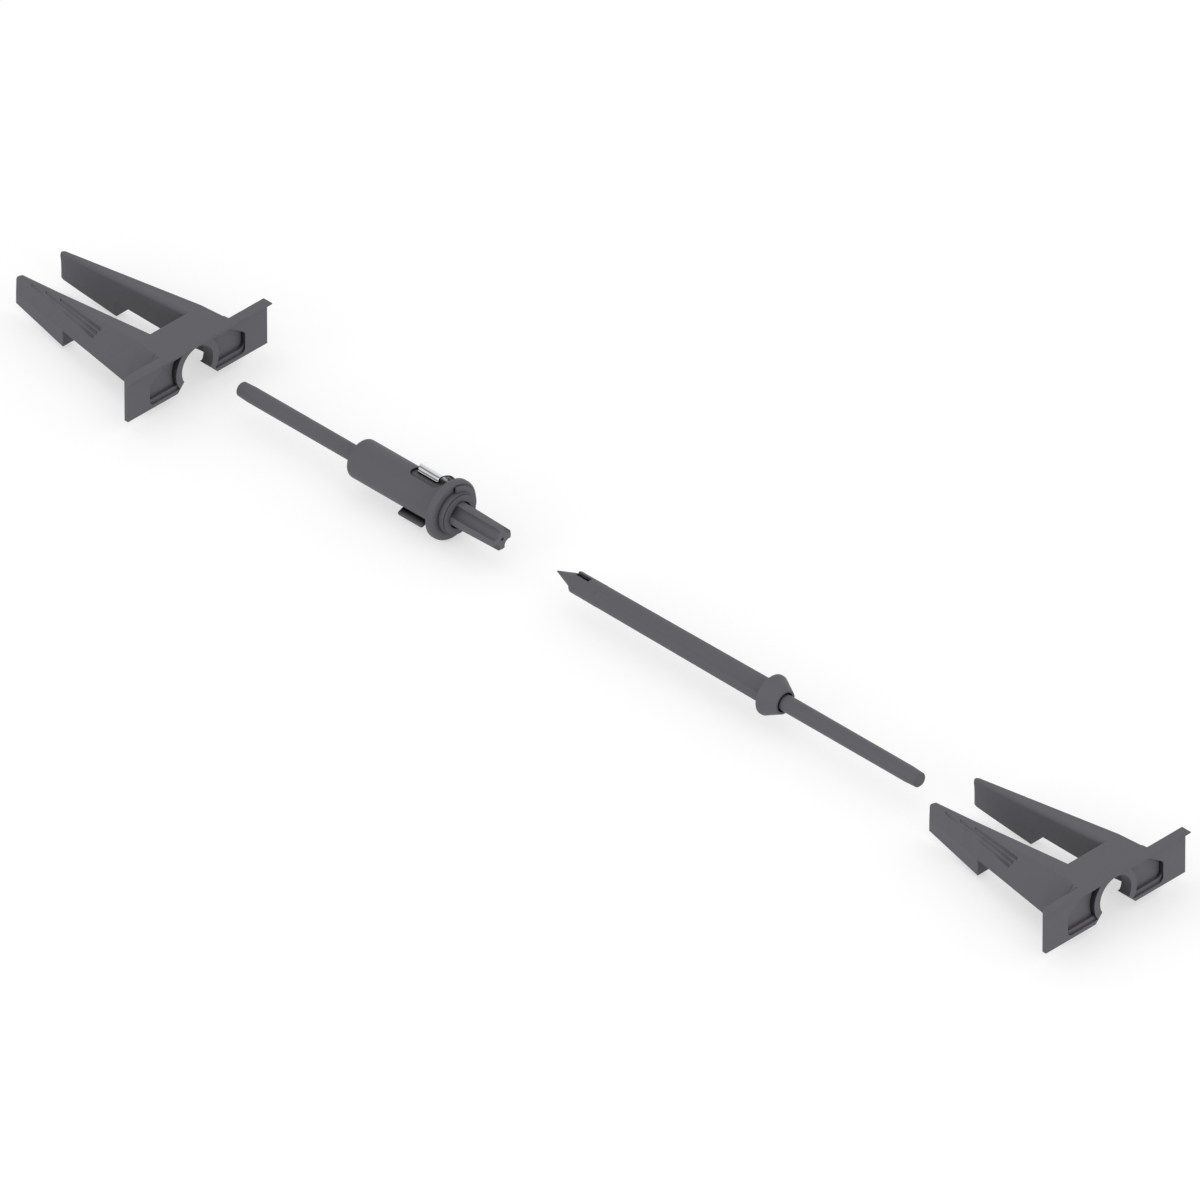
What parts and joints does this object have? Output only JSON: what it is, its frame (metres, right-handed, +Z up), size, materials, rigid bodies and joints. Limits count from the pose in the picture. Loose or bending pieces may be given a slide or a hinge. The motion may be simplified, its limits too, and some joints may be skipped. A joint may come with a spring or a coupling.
{
  "type": "test probe set with snap holders",
  "caption": "Test probe set on a common axis: a clip-in connector with a sprung ribbed spigot, a plunger probe with a conical point, and forked snap holders.",
  "frame": {"origin": "under the middle of the set's bounding box, at the height of its lowest point", "axes": "+X along the common axis from holder A to holder B, the way the connector's spigot points; +Z up, towards the flat tops of the holders; +Y across"},
  "size_m": [0.3546, 0.0456, 0.0154],
  "materials": {
    "holder_plastic": "matte moulded, fine even texture",
    "stem_plastic": "matte extruded",
    "housing_plastic": "matte moulded",
    "ring_plastic": "matte moulded",
    "spigot_plastic": "matte moulded",
    "barrel_plastic": "matte moulded",
    "collar_plastic": "matte moulded",
    "point_plastic": "matte moulded",
    "bush_plastic": "plain off-white",
    "clip_steel": "bright polished spring steel",
    "spring_steel": "drawn wire",
    "contact_brass": "plain turned"
  },
  "bodies": {
    "set_body": {"holder_a": "holder_plastic", "holder_b": "holder_plastic", "connector_stem": "stem_plastic", "stem_core": "contact_brass", "connector_housing": "housing_plastic", "nose_flange": "housing_plastic", "spring_clip": "clip_steel", "spring_seat": "contact_brass", "spigot_spring": "spring_steel", "probe_barrel": "barrel_plastic", "guide_bush": "bush_plastic", "probe_collar": "collar_plastic", "return_spring": "spring_steel"},
    "lock_ring": {"lock_ring": "ring_plastic"},
    "spigot": {"ribbed_spigot": "spigot_plastic", "contact_sleeve": "contact_brass"},
    "plunger": {"probe_point": "point_plastic", "core_rod": "contact_brass", "spring_washer": "spring_steel", "probe_stem": "stem_plastic"}
  },
  "joints": [
    {"name": "spigot_slide", "type": "slide", "parent": "set_body", "child": "spigot", "axis": [-1, 0, 0], "range_m": [0, 0.004], "stiffness_N_per_m": 120, "deforming": ["spigot_spring"]},
    {"name": "lock_ring_turn", "type": "hinge", "parent": "set_body", "child": "lock_ring", "pos_m": [-0.0389, 0, 0.0077], "axis": [1, 0, 0], "range_deg": [0, 45]},
    {"name": "plunger_slide", "type": "slide", "parent": "set_body", "child": "plunger", "axis": [-1, 0, 0], "range_m": [0, 0.004], "stiffness_N_per_m": 120, "deforming": ["return_spring"]}
  ]
}
